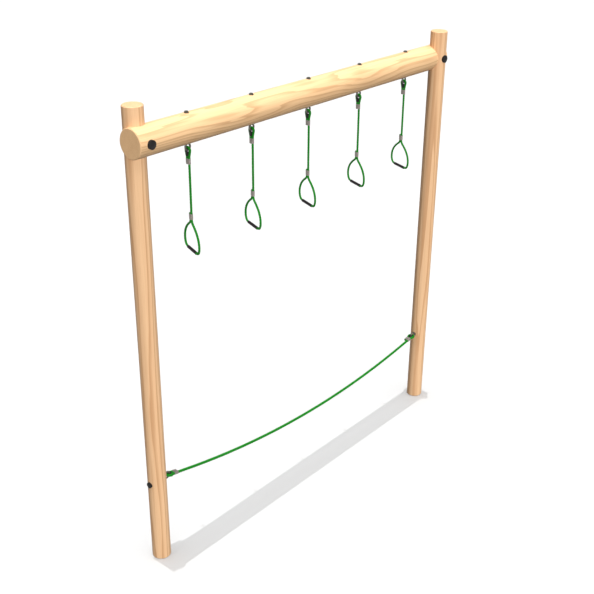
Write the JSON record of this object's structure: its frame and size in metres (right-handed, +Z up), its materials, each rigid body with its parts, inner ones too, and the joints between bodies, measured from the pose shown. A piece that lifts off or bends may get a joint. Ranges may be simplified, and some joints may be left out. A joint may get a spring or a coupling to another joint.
{
  "type": "swinging loop monkey bars",
  "caption": "Round timber posts and beam with rope hand loops hung from eye bolts and a slack low rope to walk on, for a child to swing or balance across.",
  "frame": {"origin": "on the ground midway between the two posts", "axes": "+X along the beam towards the right post, +Y away from the front, +Z up"},
  "size_m": [2.4244, 0.2034, 2.5],
  "materials": {
    "post_timber": "planed round softwood, oiled, fine vertical grain",
    "beam_timber": "planed round softwood, oiled, long grain",
    "loop_rope": "green laid synthetic rope",
    "walk_rope": "green laid synthetic rope",
    "aluminium_ferrule": "pressed, dull",
    "galvanised_steel": "galvanised, weathered dark grey",
    "black_plastic": "moulded, fine texture",
    "grip_sleeve": "smooth black tube"
  },
  "bodies": {
    "frame": {"left_post": "post_timber", "right_post": "post_timber", "beam": "beam_timber", "beam_bolts": "galvanised_steel", "beam_bolt_washers": "galvanised_steel", "beam_bolt_nuts": "galvanised_steel", "beam_bolt_cover_bases": "black_plastic", "beam_bolt_cover_caps": "black_plastic", "swing_eye_bolt_1": "galvanised_steel", "swing_eye_bolt_2": "galvanised_steel", "swing_eye_bolt_3": "galvanised_steel", "swing_eye_bolt_4": "galvanised_steel", "swing_eye_bolt_5": "galvanised_steel", "swing_bolt_washers": "galvanised_steel", "swing_bolt_lock_nuts": "galvanised_steel", "walk_eye_bolt_left": "galvanised_steel", "walk_eye_bolt_right": "galvanised_steel", "walk_bolt_washers": "galvanised_steel", "walk_bolt_nuts": "galvanised_steel", "walk_bolt_cover_bases": "black_plastic", "walk_bolt_cover_caps": "black_plastic"},
    "hanger_1": {"loop_1_thimble": "black_plastic", "loop_1_rope_eye": "loop_rope", "loop_1_upper_ferrule": "aluminium_ferrule"},
    "drop_1": {"loop_1_drop_rope": "loop_rope"},
    "hand_loop_1": {"loop_1_lower_ferrule": "aluminium_ferrule", "loop_1_hand_rope": "loop_rope", "loop_1_grip": "grip_sleeve"},
    "hanger_2": {"loop_2_thimble": "black_plastic", "loop_2_rope_eye": "loop_rope", "loop_2_upper_ferrule": "aluminium_ferrule"},
    "drop_2": {"loop_2_drop_rope": "loop_rope"},
    "hand_loop_2": {"loop_2_lower_ferrule": "aluminium_ferrule", "loop_2_hand_rope": "loop_rope", "loop_2_grip": "grip_sleeve"},
    "hanger_3": {"loop_3_thimble": "black_plastic", "loop_3_rope_eye": "loop_rope", "loop_3_upper_ferrule": "aluminium_ferrule"},
    "drop_3": {"loop_3_drop_rope": "loop_rope"},
    "hand_loop_3": {"loop_3_lower_ferrule": "aluminium_ferrule", "loop_3_hand_rope": "loop_rope", "loop_3_grip": "grip_sleeve"},
    "hanger_4": {"loop_4_thimble": "black_plastic", "loop_4_rope_eye": "loop_rope", "loop_4_upper_ferrule": "aluminium_ferrule"},
    "drop_4": {"loop_4_drop_rope": "loop_rope"},
    "hand_loop_4": {"loop_4_lower_ferrule": "aluminium_ferrule", "loop_4_hand_rope": "loop_rope", "loop_4_grip": "grip_sleeve"},
    "hanger_5": {"loop_5_thimble": "black_plastic", "loop_5_rope_eye": "loop_rope", "loop_5_upper_ferrule": "aluminium_ferrule"},
    "drop_5": {"loop_5_drop_rope": "loop_rope"},
    "hand_loop_5": {"loop_5_lower_ferrule": "aluminium_ferrule", "loop_5_hand_rope": "loop_rope", "loop_5_grip": "grip_sleeve"},
    "walk_line": {"walk_thimbles": "black_plastic", "walk_rope_eyes": "walk_rope", "walk_ferrules": "aluminium_ferrule", "walk_rope": "walk_rope"}
  },
  "joints": [
    {"name": "loop_1_swing_across", "type": "hinge", "parent": "frame", "child": "hanger_1", "pos_m": [-0.868, 0, 2.2355], "axis": [1, 0, 0], "range_deg": [-60, 60]},
    {"name": "loop_1_swing_along", "type": "hinge", "parent": "hanger_1", "child": "drop_1", "pos_m": [-0.868, 0, 2.16515], "axis": [0, 1, 0], "range_deg": [-20, 20]},
    {"name": "loop_1_twist", "type": "hinge", "parent": "drop_1", "child": "hand_loop_1", "pos_m": [-0.868, -0.0062, 1.917], "axis": [0, 0, 1], "range_deg": [-40, 40]},
    {"name": "loop_2_swing_across", "type": "hinge", "parent": "frame", "child": "hanger_2", "pos_m": [-0.434, 0, 2.2355], "axis": [1, 0, 0], "range_deg": [-60, 60]},
    {"name": "loop_2_swing_along", "type": "hinge", "parent": "hanger_2", "child": "drop_2", "pos_m": [-0.434, 0, 2.16515], "axis": [0, 1, 0], "range_deg": [-20, 20]},
    {"name": "loop_2_twist", "type": "hinge", "parent": "drop_2", "child": "hand_loop_2", "pos_m": [-0.434, -0.0062, 1.917], "axis": [0, 0, 1], "range_deg": [-40, 40]},
    {"name": "loop_3_swing_across", "type": "hinge", "parent": "frame", "child": "hanger_3", "pos_m": [0, 0, 2.2355], "axis": [1, 0, 0], "range_deg": [-60, 60]},
    {"name": "loop_3_swing_along", "type": "hinge", "parent": "hanger_3", "child": "drop_3", "pos_m": [0, 0, 2.16515], "axis": [0, 1, 0], "range_deg": [-20, 20]},
    {"name": "loop_3_twist", "type": "hinge", "parent": "drop_3", "child": "hand_loop_3", "pos_m": [0, -0.0062, 1.917], "axis": [0, 0, 1], "range_deg": [-40, 40]},
    {"name": "loop_4_swing_across", "type": "hinge", "parent": "frame", "child": "hanger_4", "pos_m": [0.434, 0, 2.2355], "axis": [1, 0, 0], "range_deg": [-60, 60]},
    {"name": "loop_4_swing_along", "type": "hinge", "parent": "hanger_4", "child": "drop_4", "pos_m": [0.434, 0, 2.16515], "axis": [0, 1, 0], "range_deg": [-20, 20]},
    {"name": "loop_4_twist", "type": "hinge", "parent": "drop_4", "child": "hand_loop_4", "pos_m": [0.434, -0.0062, 1.917], "axis": [0, 0, 1], "range_deg": [-40, 40]},
    {"name": "loop_5_swing_across", "type": "hinge", "parent": "frame", "child": "hanger_5", "pos_m": [0.868, 0, 2.2355], "axis": [1, 0, 0], "range_deg": [-60, 60]},
    {"name": "loop_5_swing_along", "type": "hinge", "parent": "hanger_5", "child": "drop_5", "pos_m": [0.868, 0, 2.16515], "axis": [0, 1, 0], "range_deg": [-20, 20]},
    {"name": "loop_5_twist", "type": "hinge", "parent": "drop_5", "child": "hand_loop_5", "pos_m": [0.868, -0.0062, 1.917], "axis": [0, 0, 1], "range_deg": [-40, 40]},
    {"name": "walk_rope_swing", "type": "hinge", "parent": "frame", "child": "walk_line", "pos_m": [-1.06483, 0.04, 0.48155], "axis": [0.9993, -0.0375, 0], "range_deg": [-10, 10]}
  ]
}
